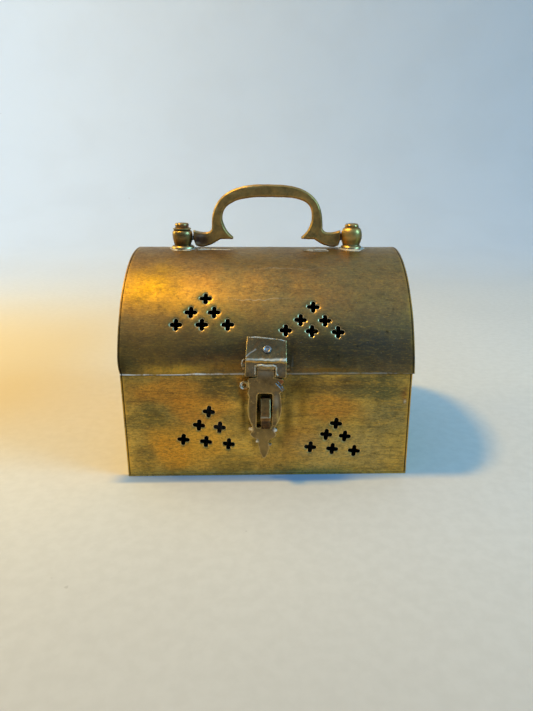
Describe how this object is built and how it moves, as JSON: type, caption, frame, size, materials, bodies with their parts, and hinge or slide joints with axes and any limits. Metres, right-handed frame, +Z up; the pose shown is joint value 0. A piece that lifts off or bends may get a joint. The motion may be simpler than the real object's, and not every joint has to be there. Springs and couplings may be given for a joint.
{
  "type": "pierced brass trinket chest",
  "caption": "Small pierced sheet-brass box with a hinged barrel-vault lid, swinging cast bail handle on turned posts, and a slotted hasp over a padlock staple.",
  "frame": {"origin": "centre of the flat underside", "axes": "+X to the right seen from the latch side, -Y the front with the latch, +Z up"},
  "size_m": [0.108, 0.1035, 0.1071],
  "materials": {
    "body_sheet": "aged, tarnish clouds and wipe marks",
    "lid_sheet": "aged, tan-brown tarnish",
    "handle_brass": "cast, olive patina",
    "post_brass": "turned, dark polish",
    "latch_bronze": "cast, dull grey-brown with worn edges",
    "hinge_brass": "aged sheet",
    "rivet_steel": "dull grey, peened"
  },
  "bodies": {
    "body": {"base_plate": "body_sheet", "body_front": "body_sheet", "body_back": "body_sheet", "body_end_left": "body_sheet", "body_end_right": "body_sheet", "hinge_left_lower_leaf": "hinge_brass", "hinge_right_lower_leaf": "hinge_brass", "hinge_left_pin": "rivet_steel", "hinge_right_pin": "rivet_steel", "hinge_body_rivets": "hinge_brass", "staple": "latch_bronze", "staple_washer": "latch_bronze"},
    "lid": {"lid_vault": "lid_sheet", "lid_end_left": "lid_sheet", "lid_end_right": "lid_sheet", "hinge_left_upper_leaf": "hinge_brass", "hinge_right_upper_leaf": "hinge_brass", "hinge_lid_rivets": "hinge_brass", "handle_post_left": "post_brass", "handle_post_right": "post_brass", "post_washers": "hinge_brass", "hasp_bracket": "latch_bronze", "bracket_rivet": "rivet_steel", "hasp_pin": "rivet_steel"},
    "handle": {"handle": "handle_brass", "handle_pivot_left": "rivet_steel", "handle_pivot_right": "rivet_steel"},
    "hasp": {"hasp_plate": "latch_bronze"}
  },
  "joints": [
    {"name": "lid_hinge", "type": "hinge", "parent": "body", "child": "lid", "pos_m": [0, 0.0483, 0.0394], "axis": [-1, 0, 0], "range_deg": [0, 110]},
    {"name": "handle_swing", "type": "hinge", "parent": "lid", "child": "handle", "pos_m": [0, -0.001, 0.0856], "axis": [1, 0, 0], "range_deg": [-100, 100]},
    {"name": "hasp_hinge", "type": "hinge", "parent": "lid", "child": "hasp", "pos_m": [-0.0005, -0.04825, 0.0446], "axis": [-0.9993, 0, 0.0384], "range_deg": [0, 90]}
  ]
}
